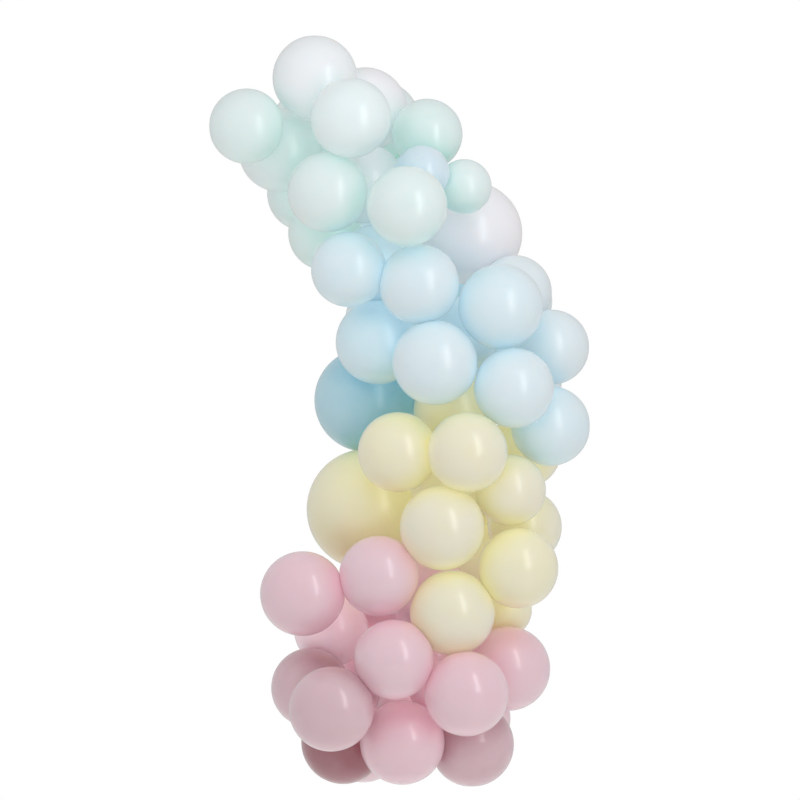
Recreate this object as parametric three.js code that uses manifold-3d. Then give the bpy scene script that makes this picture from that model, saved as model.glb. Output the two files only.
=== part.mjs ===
// Balloon garland: a leaning, curved column of round latex balloons in white, mint,
// pale blue, yellow and pink, gathered on one clear perforated strip.
// Millimetres. +Z is up, +Y points to the wall behind, +X is right as seen from the front.
// The origin is the middle of the flat back face of the strip's top tail, where it is fixed.

import * as THREE from "three";
import Module from "manifold-3d";

// Blown-up diameters.
const FULL_D = 305;
const WIDE_D = 262;
const ROUND_D = 212;
const MID_D = 200;
const SMALL_D = 188;
const SHORT_D = 178;
const MINI_D = 138;

// Neck and knot, as shares of the balloon's radius.
const NECK_REACH = 1.1;
const KNOT_REACH = 1.17;

// Clear strip.
const STRIP_WIDTH = 15;
const STRIP_THICK = 1.2;
const STRIP_OFF_WALL = 200;
const TAIL_LENGTH = 60;
const TAIL_DROP = 45;
const BEND_SIZE = 40;
const BEND_STAND = 25;

// How the balloons are packed. One step of the layout's grid is a centimetre.
const GRID = 10;
const CORE_OFF_WALL = 310;
const SQUEEZE = 0.93;
const TOUCH = 0.965;
const PAIR_REACH = 0.95;
const GAP = 0.3;
const BEVEL = 1.0;
const STRIP_CLEAR = 11;
const WALL_CLEAR = 4;

// Facets of a balloon: sides around it, and rings from crown to neck in degrees.
const SIDES = 10;
const BODY_RINGS = [30, 58, 86, 114, 142, 165];
const NECK_RING = 173;
const FACET_SWELL = 1.012;

const WHITE = { name: "white", color: 0xe6eeee };
const MINT = { name: "mint", color: 0xcfe6e1 };
const ICE = { name: "ice", color: 0xcfe2eb };
const BLUE = { name: "blue", color: 0xd2e5ec };
const SKY = { name: "sky", color: 0xa1c2cf };
const YELLOW = { name: "yellow", color: 0xe1dcbc };
const PINK = { name: "pink", color: 0xd2acb4 };
const CLEAR = { name: "clear", color: 0xe8ecec };

// Every balloon seen from the front: number within its colour, colour, blown-up
// diameter, right of the mount, below the mount, and how far it is held out in front
// of the middle layer, all three in steps of the grid.
const PLACES = [
  [1, WHITE, ROUND_D, -2.5, 1.5, 8],
  [2, WHITE, ROUND_D, 10, 9.5, 3],
  [3, WHITE, WIDE_D, 36.5, 40.5, -1],
  [4, WHITE, MID_D, 6.5, 12.5, 24],
  [1, MINT, SMALL_D, -19.5, 14.25, 15],
  [2, MINT, ROUND_D, -11.5, 19.25, 0],
  [3, MINT, MID_D, 0.75, 30.75, 17.5],
  [4, MINT, SMALL_D, -5.5, 30.25, -9],
  [5, MINT, SMALL_D, 0, 40.5, -2.5],
  [6, MINT, SHORT_D, 25.5, 16, 7.5],
  [7, MINT, MID_D, 20.5, 34.5, 26],
  [8, MINT, MINI_D, 34.75, 29.25, 15],
  [9, MINT, MID_D, 10, 28.25, 5],
  [1, ICE, MINI_D, 24.25, 26, 19],
  [1, BLUE, SMALL_D, 6, 50, 17.5],
  [2, BLUE, MID_D, 23.5, 53.75, 21],
  [3, BLUE, ROUND_D, 43.75, 59.25, 19],
  [4, BLUE, SMALL_D, 47.5, 55.5, 0],
  [5, BLUE, SMALL_D, 56.75, 69.25, 2.5],
  [6, BLUE, MID_D, 56.5, 89, 7.5],
  [7, BLUE, MID_D, 47, 79.5, 21],
  [8, BLUE, ROUND_D, 27.5, 73.25, 23],
  [9, BLUE, ROUND_D, 13.25, 68, 5],
  [10, SKY, WIDE_D, 10.25, 82.5, -5],
  [11, BLUE, SMALL_D, 34.75, 65.75, 2.5],
  [12, BLUE, MID_D, 12.75, 48, 0],
  [1, YELLOW, MID_D, 18.25, 95.5, 20],
  [2, YELLOW, MID_D, 35.5, 95.5, 21],
  [3, YELLOW, FULL_D, 10.5, 110, 0],
  [4, YELLOW, ROUND_D, 29.25, 114.25, 21],
  [5, YELLOW, SHORT_D, 46.25, 105, 12.5],
  [6, YELLOW, MID_D, 48.75, 124, 17.5],
  [7, YELLOW, SMALL_D, 50.25, 115, -1],
  [8, YELLOW, SMALL_D, 50, 95.25, -5],
  [9, YELLOW, ROUND_D, 32.75, 85.25, 0],
  [10, YELLOW, ROUND_D, 31.75, 135.5, 21],
  [11, YELLOW, MINI_D, 45, 135.25, 0],
  [12, YELLOW, ROUND_D, 31.75, 104.25, 2.5],
  [1, PINK, ROUND_D, -5.5, 130.75, 17.5],
  [2, PINK, SMALL_D, 1.5, 140.25, 2.5],
  [3, PINK, MID_D, 13.25, 126.5, 19],
  [4, PINK, MID_D, 17.25, 147, 21],
  [5, PINK, ROUND_D, 1.75, 159.25, 21],
  [6, PINK, MID_D, -3.5, 154.5, 2.5],
  [7, PINK, ROUND_D, 35.25, 155.5, 22.5],
  [8, PINK, ROUND_D, 45.75, 149.75, 6],
  [9, PINK, ROUND_D, 19.75, 168, 11],
  [10, PINK, ROUND_D, 4.5, 168.5, 0],
  [11, PINK, ROUND_D, 36.75, 169.25, 2.5],
  [12, PINK, MINI_D, 27.75, 154.5, 6],
  [13, PINK, MID_D, 26.25, 131.5, 0],
];

// The strip's way down the middle of the column: right of and below the mount.
const STRIP_WAY = [
  [2.5, 11],
  [5.5, 21],
  [15, 40],
  [28.5, 60],
  [36, 80],
  [34, 100],
  [28.5, 120],
  [25, 142],
  [22, 162],
];

// Balloons on the wall side: name, colour, diameter, right of and below the mount, and
// for two tied neck to neck, the way from the upper to the lower in degrees.
const BEHIND = [
  ["behind_top", MINT, ROUND_D, 13.25, 12, 22],
  ["behind_left_high", BLUE, ROUND_D, 6.25, 43.75, 27],
  ["behind_right_high", BLUE, ROUND_D, 46.75, 57.5, 7],
  ["behind_middle", YELLOW, SMALL_D, 21.75, 96.25, null],
  ["behind_right_middle", YELLOW, ROUND_D, 43.25, 104.25, -8],
  ["behind_left_low", PINK, ROUND_D, 13.75, 130.5, -6],
  ["behind_right_low", PINK, ROUND_D, 38.25, 143, -6],
  ["behind_foot", PINK, ROUND_D, 9.25, 169.5, null],
];

const manifold = await Module();
manifold.setup();

// A closed mesh from shared corners and triangles.
function meshFrom(points, faces, name, paint) {
  const geometry = new THREE.BufferGeometry();
  geometry.setAttribute("position", new THREE.Float32BufferAttribute(points.flat(), 3));
  geometry.setIndex(faces.flat());
  geometry.computeVertexNormals();
  const material = new THREE.MeshStandardMaterial({
    color: paint.color,
    roughness: paint === CLEAR ? 0.2 : 0.42,
    metalness: 0,
  });
  const mesh = new THREE.Mesh(geometry, material);
  mesh.name = name;
  return mesh;
}

// Two closed bodies that run into each other, made one.
function joined(one, two, name, paint) {
  const solids = [one, two].map((body) => {
    const vertProperties = new Float32Array(body.points.flat());
    const triVerts = new Uint32Array(body.faces.flat());
    return new manifold.Manifold(new manifold.Mesh({ numProp: 3, vertProperties, triVerts }));
  });
  const whole = solids[0].add(solids[1]).getMesh();
  const points = [];
  for (let i = 0; i < whole.vertProperties.length; i += whole.numProp) {
    points.push([...whole.vertProperties.slice(i, i + 3)]);
  }
  const faces = [];
  for (let i = 0; i < whole.triVerts.length; i += 3) {
    faces.push([...whole.triVerts.slice(i, i + 3)]);
  }
  return meshFrom(points, faces, name, paint);
}

// The strip: straight down the wall, forward into the column, down its middle and back.
function stripPath() {
  const face = -STRIP_THICK / 2;
  const half = TAIL_LENGTH / 2;
  const spot = (x, y, z) => new THREE.Vector3(x, y, z);
  const run = STRIP_WAY.map(([x, down]) => spot(x * GRID, -STRIP_OFF_WALL, -down * GRID));
  const first = run[0];
  const last = run[run.length - 1];
  const lowEnd = spot(last.x, face, last.z - TAIL_DROP);
  const way = new THREE.CatmullRomCurve3(
    [
      spot(0, face, -half),
      spot(first.x * 0.3, face - BEND_STAND, -half - BEND_STAND),
      spot(first.x * 0.7, -STRIP_OFF_WALL + BEND_SIZE, first.z + BEND_SIZE * 0.75),
      ...run,
      spot(last.x, -STRIP_OFF_WALL + BEND_SIZE, last.z - BEND_SIZE / 2),
      spot(last.x, face - BEND_STAND, lowEnd.z + BEND_STAND / 3),
      lowEnd,
    ],
    false,
    "centripetal",
  );
  const points = way.getPoints(34);
  points.unshift(spot(0, face, half));
  points.push(spot(lowEnd.x, face, lowEnd.z - TAIL_LENGTH));
  return points;
}

function stripMesh(path) {
  const points = [];
  const faces = [];
  path.forEach((point, i) => {
    let along = new THREE.Vector3().subVectors(
      path[Math.min(i + 1, path.length - 1)],
      path[Math.max(i - 1, 0)],
    );
    if (i <= 1 || i >= path.length - 2) {
      along = new THREE.Vector3(0, 0, -1);
    }
    along.normalize();
    const across = new THREE.Vector3(-along.z, 0, along.x).normalize();
    const out = new THREE.Vector3().crossVectors(across, along).normalize();
    for (const [a, b] of [[-1, -1], [1, -1], [1, 1], [-1, 1]]) {
      const corner = point.clone();
      corner.addScaledVector(across, (a * STRIP_WIDTH) / 2);
      corner.addScaledVector(out, (b * STRIP_THICK) / 2);
      points.push(corner.toArray());
    }
    if (i > 0) {
      for (let k = 0; k < 4; k += 1) {
        const a = (i - 1) * 4 + k;
        const b = (i - 1) * 4 + ((k + 1) % 4);
        faces.push([a, a + 4, b], [b, a + 4, b + 4]);
      }
    }
  });
  const end = points.length - 4;
  faces.push([0, 1, 2], [0, 2, 3], [end, end + 2, end + 1], [end, end + 3, end + 2]);
  return meshFrom(points, faces, "strip", CLEAR);
}

// Where the strip is nearest to a point.
function nearestOnStrip(path, point) {
  let best = path[0];
  const leg = new THREE.Line3();
  const spot = new THREE.Vector3();
  for (let i = 1; i < path.length; i += 1) {
    leg.set(path[i - 1], path[i]);
    leg.closestPointToPoint(point, true, spot);
    if (spot.distanceTo(point) < best.distanceTo(point)) {
      best = spot.clone();
    }
  }
  return best;
}

// The balloons seen from the front settle in depth alone: each is drawn to the depth
// it is held at and pushed off those that it meets, until they rest on each other.
function settle(balloons) {
  for (let round = 0; round < 300; round += 1) {
    const push = balloons.map((one) => (one.rest - one.at.y) * 0.05);
    balloons.forEach((one, i) => {
      for (let j = 0; j < i; j += 1) {
        const two = balloons[j];
        const side = Math.hypot(one.at.x - two.at.x, one.at.z - two.at.z);
        const reach = (one.radius + two.radius) * SQUEEZE;
        const deep = one.at.y - two.at.y;
        if (side < reach && Math.abs(deep) < Math.sqrt(reach * reach - side * side)) {
          const need = Math.sqrt(reach * reach - side * side) - Math.abs(deep);
          const way = deep > 0 || (deep === 0 && one.rest > two.rest) ? 1 : -1;
          push[i] += way * need * 0.25;
          push[j] -= way * need * 0.25;
        }
      }
    });
    balloons.forEach((one, i) => {
      one.at.y += push[i];
    });
  }
}

// The balloons on the wall side, pushed in from the wall until they meet the others.
function placeBehind(placed) {
  return BEHIND.map(([name, paint, across, right, down, lean]) => {
    const radius = across / 2;
    const spots = [new THREE.Vector3(right * GRID, 0, -down * GRID)];
    if (lean !== null) {
      const angle = THREE.MathUtils.degToRad(lean);
      const step = new THREE.Vector3(Math.sin(angle), 0, -Math.cos(angle));
      spots.push(spots[0].clone().addScaledVector(step, across * PAIR_REACH));
    }
    let depth = -CORE_OFF_WALL;
    for (const spot of spots) {
      for (const other of placed) {
        const apart = Math.hypot(spot.x - other.at.x, spot.z - other.at.z);
        const meet = (radius + other.radius) * SQUEEZE;
        if (apart < meet) {
          depth = Math.max(depth, other.at.y + Math.sqrt(meet * meet - apart * apart));
        }
      }
    }
    depth = Math.min(depth, -(radius + WALL_CLEAR));
    for (const spot of spots) {
      spot.y = depth;
    }
    return { name, paint, members: spots.map((at) => ({ at, radius, paint })) };
  });
}

// Nothing hangs loose: starting from the group nearest to the strip, the nearest of the
// others is taken next and, if it doesn't touch yet, moved straight in until it does.
function gather(groups, path) {
  const reachOf = (one, two) => (one.radius + two.radius) * TOUCH;
  const waiting = new Set(groups);
  const nearness = (group) =>
    Math.min(...group.map((one) => nearestOnStrip(path, one.at).distanceTo(one.at) - one.radius));
  let next = groups.reduce((best, group) => (nearness(group) < nearness(best) ? group : best));
  const held = [...next];
  waiting.delete(next);
  while (waiting.size > 0) {
    let gap = Infinity;
    let pull = null;
    for (const group of waiting) {
      for (const one of group) {
        for (const two of held) {
          const space = one.at.distanceTo(two.at) - reachOf(one, two);
          if (space < gap) {
            gap = space;
            next = group;
            pull = new THREE.Vector3().subVectors(two.at, one.at).normalize();
          }
        }
      }
    }
    if (gap > 0) {
      next.forEach((one) => one.at.addScaledVector(pull, gap));
    }
    held.push(...next);
    waiting.delete(next);
  }
}

// One balloon as a closed body: round from crown to neck, a short neck and a knot,
// pressed flat wherever it meets a neighbour, the strip or the wall.
function balloonBody(balloon, limits, neckWay) {
  const axis = neckWay.clone().negate().normalize();
  const helper = Math.abs(axis.z) > 0.9 ? new THREE.Vector3(1, 0, 0) : new THREE.Vector3(0, 0, 1);
  const right = new THREE.Vector3().crossVectors(helper, axis).normalize();
  const up = new THREE.Vector3().crossVectors(axis, right);
  const rings = BODY_RINGS.map((angle) => [angle, FACET_SWELL]);
  rings.push([NECK_RING, NECK_REACH]);
  const corner = (angle, turn, reach) => {
    const tilt = THREE.MathUtils.degToRad(angle);
    const way = axis.clone().multiplyScalar(Math.cos(tilt));
    way.addScaledVector(right, Math.sin(tilt) * Math.cos(turn));
    way.addScaledVector(up, Math.sin(tilt) * Math.sin(turn));
    let far = balloon.radius * reach;
    for (const limit of limits) {
      const lean = way.dot(limit.way);
      if (lean > 0 && far * lean > limit.far) {
        far = limit.far / lean;
      }
    }
    return balloon.at.clone().addScaledVector(way, far).toArray();
  };
  const points = [corner(0, 0, FACET_SWELL)];
  for (const [angle, reach] of rings) {
    for (let k = 0; k < SIDES; k += 1) {
      points.push(corner(angle, (k * 2 * Math.PI) / SIDES, reach));
    }
  }
  points.push(corner(180, 0, KNOT_REACH));
  const faces = [];
  const last = points.length - 1;
  for (let k = 0; k < SIDES; k += 1) {
    const next = (k + 1) % SIDES;
    faces.push([0, 1 + k, 1 + next]);
    for (let ring = 0; ring < rings.length - 1; ring += 1) {
      const a = 1 + ring * SIDES + k;
      const b = 1 + ring * SIDES + next;
      faces.push([a, a + SIDES, b], [b, a + SIDES, b + SIDES]);
    }
    const low = 1 + (rings.length - 1) * SIDES;
    faces.push([low + k, last, low + next]);
  }
  return { points, faces };
}

// The flat limits of a balloon: halfway planes to its neighbours, the strip and the wall.
function limitsOf(balloon, all, path, partner) {
  const limits = [];
  for (const other of all) {
    const away = new THREE.Vector3().subVectors(other.at, balloon.at);
    const span = away.length();
    if (other !== balloon && span < (balloon.radius + other.radius) * 1.3) {
      const share = (span * span + balloon.radius ** 2 - other.radius ** 2) / (2 * span);
      const far = other === partner ? share + BEVEL : share - GAP / 2;
      limits.push({ way: away.divideScalar(span), far });
    }
  }
  const spot = nearestOnStrip(path, balloon.at);
  const toStrip = new THREE.Vector3().subVectors(spot, balloon.at);
  const span = toStrip.length();
  limits.push({ way: toStrip.divideScalar(span), far: Math.max(span - STRIP_CLEAR, 5) });
  limits.push({ way: new THREE.Vector3(0, 1, 0), far: -balloon.at.y - WALL_CLEAR });
  return limits;
}

const root = new THREE.Group();
root.name = "balloon_garland";

const path = stripPath();
const seen = PLACES.map(([number, paint, across, right, down, held]) => {
  const rest = -CORE_OFF_WALL - held * GRID;
  const at = new THREE.Vector3(right * GRID, rest, -down * GRID);
  return { name: `${paint.name}_${number}`, paint, radius: across / 2, at, rest };
});
settle(seen);
const behind = placeBehind(seen);
gather([...seen.map((one) => [one]), ...behind.map((group) => group.members)], path);
const all = [...seen, ...behind.flatMap((group) => group.members)];

for (const balloon of seen) {
  const inward = new THREE.Vector3().subVectors(nearestOnStrip(path, balloon.at), balloon.at);
  const body = balloonBody(balloon, limitsOf(balloon, all, path, null), inward);
  root.add(meshFrom(body.points, body.faces, balloon.name, balloon.paint));
}
for (const group of behind) {
  const bodies = group.members.map((balloon, i) => {
    const partner = group.members.length > 1 ? group.members[1 - i] : null;
    const goal = partner ? partner.at : nearestOnStrip(path, balloon.at);
    const neckWay = new THREE.Vector3().subVectors(goal, balloon.at);
    return balloonBody(balloon, limitsOf(balloon, all, path, partner), neckWay);
  });
  const [one, two] = bodies;
  if (two) {
    root.add(joined(one, two, group.name, group.paint));
  } else {
    root.add(meshFrom(one.points, one.faces, group.name, group.paint));
  }
}
root.add(stripMesh(path));

export default root;
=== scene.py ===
import math

import bpy
import numpy as np
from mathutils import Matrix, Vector


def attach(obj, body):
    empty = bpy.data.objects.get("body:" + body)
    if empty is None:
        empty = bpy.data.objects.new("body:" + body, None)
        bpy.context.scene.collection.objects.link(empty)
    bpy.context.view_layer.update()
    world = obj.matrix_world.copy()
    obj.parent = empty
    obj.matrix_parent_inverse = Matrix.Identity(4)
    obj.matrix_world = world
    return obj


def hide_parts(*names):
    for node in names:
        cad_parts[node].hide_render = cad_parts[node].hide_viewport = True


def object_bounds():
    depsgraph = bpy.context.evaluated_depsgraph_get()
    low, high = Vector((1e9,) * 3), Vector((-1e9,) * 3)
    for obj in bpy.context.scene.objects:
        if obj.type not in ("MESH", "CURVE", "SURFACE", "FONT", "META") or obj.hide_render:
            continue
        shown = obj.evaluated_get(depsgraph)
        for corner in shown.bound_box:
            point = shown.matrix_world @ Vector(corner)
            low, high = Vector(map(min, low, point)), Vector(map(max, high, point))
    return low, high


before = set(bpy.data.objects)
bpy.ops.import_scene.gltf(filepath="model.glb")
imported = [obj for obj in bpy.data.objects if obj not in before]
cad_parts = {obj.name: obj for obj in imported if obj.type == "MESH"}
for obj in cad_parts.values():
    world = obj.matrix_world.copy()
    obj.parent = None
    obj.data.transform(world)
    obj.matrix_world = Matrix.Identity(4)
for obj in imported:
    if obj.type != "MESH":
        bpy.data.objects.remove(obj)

CAD_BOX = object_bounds()

bl_info = {
    "name": "Balloon garland",
    "version": (1, 0, 0),
    "blender": (4, 5, 0),
    "location": "View3D > Sidebar > Garland",
    "description": "Dresses a hanging column of latex balloons on a clear strip",
    "category": "Object",
}

MM = 0.001
# So that nothing is divided by zero.
TINY = 1e-9
TINY_SQUARE = 1e-12

# How the solids of the balloons are made: their corners lie a little outside the skin.
FACET_SWELL = 1.012
SMALLEST_BALL, BIGGEST_BALL = 55 * MM, 170 * MM
# How the balloons are found again in their corners. A solid with more corners than one
# balloon has is a pair. Places are rounded to a number of decimals of a metre.
ON_SKIN = 0.05 * MM
CORNERS_OF_ONE = 80
BALL_SEED = 7
BALL_TRIES = 3000
FLAT_FOUR = 1e-6
CORNER_DECIMALS = 7
MIDDLE_DECIMALS = 5

# Space kept between pressed skins, off the strip and off the wall, and the least room
# that the strip leaves a balloon.
SKIN_GAP = 0.3 * MM
STRIP_CLEAR = 9 * MM
WALL_CLEAR = 4 * MM
LEAST_ROOM = 5 * MM
# Balloons up to this share beyond touching still count as neighbours.
NEAR_ENOUGH = 1.3
# Below this cosine a flat doesn't lie ahead of a ray, and its room is taken as far off.
SIDEWAYS = 1e-4
FAR_OFF = 9.0

# The strip, a usual size of punched garland strip, and how finely its holes are cut.
STRIP_WIDTH = 15 * MM
STRIP_THICKNESS = 1.2 * MM
HOLE_SPACING = 15 * MM
HOLE_WIDTH = 7 * MM
HOLE_SIDES = 24

# The usual shape of a balloon, and how finely it is cut.
USUAL_RADIUS = 100 * MM
FACES_AROUND, FACES_ALONG = 72, 60
PEAR = 0.06
PLEATS = 9
PLEAT_DEPTH = 0.12

# The profile of a balloon. The first share of its rows makes the body, down to an angle
# from the crown, and the rest makes the tie, whose length counts in radii. The skin draws
# in and folds from these angles on.
BODY_SHARE = 0.74
BODY_END = math.radians(167)
PEAR_START = math.radians(95)
FOLD_START = math.radians(138)
TIE_LENGTH = 0.19
# Width of the tie against the ring that it starts on: neck, pinch, knot, pinch, lip.
TIE_WIDTHS = (
    (0.0, 1.0), (0.14, 0.72), (0.3, 0.42), (0.42, 0.3), (0.5, 0.4), (0.58, 0.44),
    (0.66, 0.36), (0.72, 0.26), (0.82, 0.4), (0.92, 0.58), (0.97, 0.56), (1.0, 0.0),
)
# How far down the tie each of those places is.
TIE_DROPS = (
    (0.0, 0.0), (0.14, 0.18), (0.3, 0.4), (0.42, 0.55), (0.5, 0.6), (0.58, 0.65),
    (0.66, 0.7), (0.72, 0.74), (0.82, 0.84), (0.92, 0.97), (0.97, 1.0), (1.0, 0.9),
)
# How thick the film stays from the crown's button, over the belly, to the neck.
THICKNESS = (
    (0.0, 0.06), (0.03, 0.05), (0.055, 0.03), (0.12, 0.01), (0.3, 0.0), (0.6, 0.02),
    (0.8, 0.2), (0.93, 0.55), (1.0, 0.95),
)
# Corners nearer than this are one. The strip's plates are welded while they still have a
# half-width of 1, so theirs counts in half-widths.
WELD = 0.02 * MM
PLATE_WELD = 0.001

# The latex of each paint: slot of the record, sRGB where the skin is blown thin, and sRGB
# where it stays thick, at the crown and the neck.
PAINTS = {
    # The white is a paler copy of the mint: painted light on the brightly lit balloons of the
    # upper part of the column.
    "white": ("white_latex", "E2E1E5", "D5E0E1"),
    "mint": ("mint_latex", "D5DCDE", "C2DED8"),
    "ice": ("pale_blue_latex", "CED7DD", "B0D0DE"),
    "blue": ("pale_blue_latex", "D2DBDF", "BFDAE4"),
    "sky": ("sky_blue_latex", "B6D0D7", "7CB4C8"),
    "yellow": ("yellow_latex", "D8D5C9", "E3DEAB"),
    "pink": ("pink_latex", "D6C1C9", "DCAFBB"),
    # The next two are the pink latex painted darker, as painted shade, and painted paler, as
    # painted light.
    "mauve": ("pink_latex", "CBB0B8", "90565F"),
    "blush": ("pink_latex", "EBD3DC", "F0C9D4"),
}
# What each latex is and how it was made: tapped latex, dyed in the mass, dipped on a form.
LATEX_NAMES = {
    # The white latex is the mint with painted light.
    "white": "natural_latex_white_dipped",
    "mint": "natural_latex_mint_dipped",
    "ice": "natural_latex_ice_blue_dipped",
    "blue": "natural_latex_pale_blue_dipped",
    "sky": "natural_latex_sky_blue_dipped",
    "yellow": "natural_latex_pastel_yellow_dipped",
    "pink": "natural_latex_dusty_pink_dipped",
    # The next two are the pink latex with painted shade and with painted light.
    "mauve": "natural_latex_mauve_pink_dipped",
    "blush": "natural_latex_blush_pink_dipped",
}
# Pink balloons painted darker, as painted shade on the low pinks that lie in shade, and one
# painted paler, as painted light on a pink that lies in the shade of its neighbours.
SHADED_AND_LIT_PINKS = {
    "pink_2": "blush",
    "pink_5": "mauve",
    "pink_6": "mauve",
    "pink_10": "mauve",
    "pink_11": "mauve",
}
# The paint of each node on the wall side.
BEHIND = {
    "behind_top": "mint",
    "behind_left_high": "blue",
    "behind_right_high": "blue",
    "behind_middle": "yellow",
    "behind_right_middle": "yellow",
    "behind_left_low": "pink",
    "behind_right_low": "pink",
    "behind_foot": "pink",
}

# Balloons whose colour is deeper (above 0) or paler (below 0) than the usual spread. Some of
# this is tone that differs from balloon to balloon; some is painted shade, deeper on the low
# balloons that lie in shade, and painted light, paler on balloons that would come out too
# dark in the shade of their neighbours.
TONE_AND_SHADE_SHIFTS = {
    "white_1": 0.8,
    "white_3": -1.9,
    "white_4": 2.4,
    "mint_2": -0.6,
    "mint_4": 0.3,
    "mint_5": 0.4,
    "mint_6": 0.9,
    "mint_8": 0.6,
    "mint_9": -1.4,
    "blue_1": 0.3,
    "blue_2": 0.4,
    "blue_4": -1.3,
    "blue_7": 0.6,
    "blue_9": 0.9,
    "yellow_1": 0.7,
    "yellow_3": 1.2,
    "yellow_6": 0.4,
    "yellow_11": 0.3,
    "pink_2": -1.3,
    "pink_3": -0.6,
    "pink_4": 0.6,
    "pink_5": -0.9,
    "pink_6": -0.9,
    "pink_9": 0.5,
    "pink_10": 1.5,
    "pink_11": -0.1,
}

# Small balloons that the solids leave out, tucked in where one would see through to the
# wall: paint, centre and radius in mm.
FILLERS = {
    "filler_mint_high": ("mint", (-65, -95, -122), 75),
    "filler_mint_low": ("mint", (-25, -70, -170), 63),
    "filler_blue_high": ("blue", (315, -70, -520), 66),
    "filler_blue_low": ("blue", (358, -60, -715), 56),
    "filler_pink_high": ("pink", (270, -260, -1468), 61),
    "filler_pink_low": ("pink", (195, -270, -1598), 66),
}

# Crowns that turn another way than straight away from the neck: right, away, up.
CROWNS = {
    "pink_1": (-0.19, -0.88, 0.43),
    "pink_4": (-0.18, -0.9, 0.41),
    "pink_5": (-0.26, -0.85, 0.45),
    "pink_7": (0.66, -0.75, -0.05),
    "yellow_6": (0.02, -0.98, 0.15),
    "blue_8": (-0.4, -0.81, -0.42),
}


def linear(code):
    """An sRGB hex colour as linear red, green, blue and alpha."""
    parts = [int(code[i : i + 2], 16) / 255 for i in (0, 2, 4)]
    parts = [c / 12.92 if c <= 0.04045 else ((c + 0.055) / 1.055) ** 2.4 for c in parts]
    return (*parts, 1.0)


def add(tree, kind, settings=None, **links):
    """Adds a node with its settings. A link names an input, or counts it as in i0, and
    holds a value, a socket, or a node whose first output is meant."""
    node = tree.nodes.new(kind)
    for name, value in (settings or {}).items():
        setattr(node, name, value)
    for name, value in links.items():
        counted = name[0] == "i" and name[1:].isdigit()
        socket = node.inputs[int(name[1:]) if counted else name.replace("_", " ")]
        if isinstance(value, bpy.types.Node):
            value = value.outputs[0]
        if isinstance(value, bpy.types.NodeSocket):
            tree.links.new(value, socket)
        else:
            socket.default_value = value
    return node


# ---------------------------------------------------------------- reading the frame


def corners_of(name):
    """The corners of a CAD node, each once."""
    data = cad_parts[name].data
    points = np.empty(len(data.vertices) * 3)
    data.vertices.foreach_get("co", points)
    return np.unique(np.round(points.reshape(-1, 3), CORNER_DECIMALS), axis=0)


def best_ball(points, rng):
    """The sphere that most of the corners lie on: centre, radius, and which corners."""
    found = (None, 0.0, np.zeros(len(points), bool))
    picks = [rng.choice(len(points), 4, replace=False) for _ in range(BALL_TRIES)]
    quads = points[np.array(picks)]
    sides = 2 * (quads[:, 1:] - quads[:, :1])
    sums = (quads[:, 1:] ** 2).sum(2) - (quads[:, :1] ** 2).sum(2)
    solid = np.abs(np.linalg.det(sides)) > FLAT_FOUR
    centres = np.linalg.solve(sides[solid], sums[solid][..., None])[..., 0]
    radii = np.linalg.norm(centres - quads[solid][:, 0], axis=1)
    for centre, radius in zip(centres, radii):
        if SMALLEST_BALL < radius < BIGGEST_BALL:
            on = np.abs(np.linalg.norm(points - centre, axis=1) - radius) < ON_SKIN
            if on.sum() > found[2].sum():
                found = (centre, radius, on)
    return found


def strip_line(width):
    """The middle line of the CAD strip, from the top tail to the bottom one."""
    corners = corners_of("strip")
    apart = np.linalg.norm(corners[:, None] - corners[None], axis=2)
    np.fill_diagonal(apart, 1)
    halves = (corners + corners[apart.argmin(1)]) / 2
    edges = np.unique(np.round(halves, CORNER_DECIMALS), axis=0)
    apart = np.abs(np.linalg.norm(edges[:, None] - edges[None], axis=2) - width)
    halves = (edges + edges[apart.argmin(1)]) / 2
    middle = np.unique(np.round(halves, MIDDLE_DECIMALS), axis=0)
    return middle[np.argsort(-middle[:, 2])]


def nearest_on_line(line, point):
    """The point of a line that is nearest to a point."""
    start, leg = line[:-1], line[1:] - line[:-1]
    along = ((point - start) * leg).sum(1) / np.maximum((leg**2).sum(1), TINY_SQUARE)
    spots = start + np.clip(along, 0, 1)[:, None] * leg
    return spots[np.argmin(np.linalg.norm(spots - point, axis=1))]


def inside_box(centre, radius):
    """The centre, moved in where the blown skin would reach out of the CAD box."""
    reach = radius + SKIN_GAP
    return np.clip(centre, np.array(CAD_BOX[0]) + reach, np.array(CAD_BOX[1]) - reach)


def find_balls(line):
    """Every balloon of the CAD solids: its node, centre, radius and the way of its neck."""
    rng = np.random.default_rng(BALL_SEED)
    balls = []
    for name in sorted(set(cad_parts) - {"strip"}):
        points = corners_of(name)
        centre, radius, on = best_ball(points, rng)
        mine = [(centre, radius / FACET_SWELL)]
        if len(points) > CORNERS_OF_ONE:
            second, wide, _ = best_ball(points[~on], rng)
            mine.append((second, wide / FACET_SWELL))
        for i, (middle, size) in enumerate(mine):
            goal = mine[1 - i][0] if len(mine) > 1 else nearest_on_line(line, middle)
            neck = (goal - middle) / np.linalg.norm(goal - middle)
            middle = inside_box(middle, size)
            balls.append({"node": name, "centre": middle, "radius": size, "neck": neck})
    return balls


def filler_balls(line):
    """The small balloons that no CAD node stands for, in the form of find_balls."""
    balls = []
    for name, (_, middle, radius) in FILLERS.items():
        middle = np.array(middle) * MM
        neck = nearest_on_line(line, middle) - middle
        neck /= np.linalg.norm(neck)
        balls.append({"node": name, "centre": middle, "radius": radius * MM, "neck": neck})
    return balls


LINE = strip_line(STRIP_WIDTH)
BALLS = find_balls(LINE) + filler_balls(LINE)


# ---------------------------------------------------------------- sizes and colours


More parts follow.
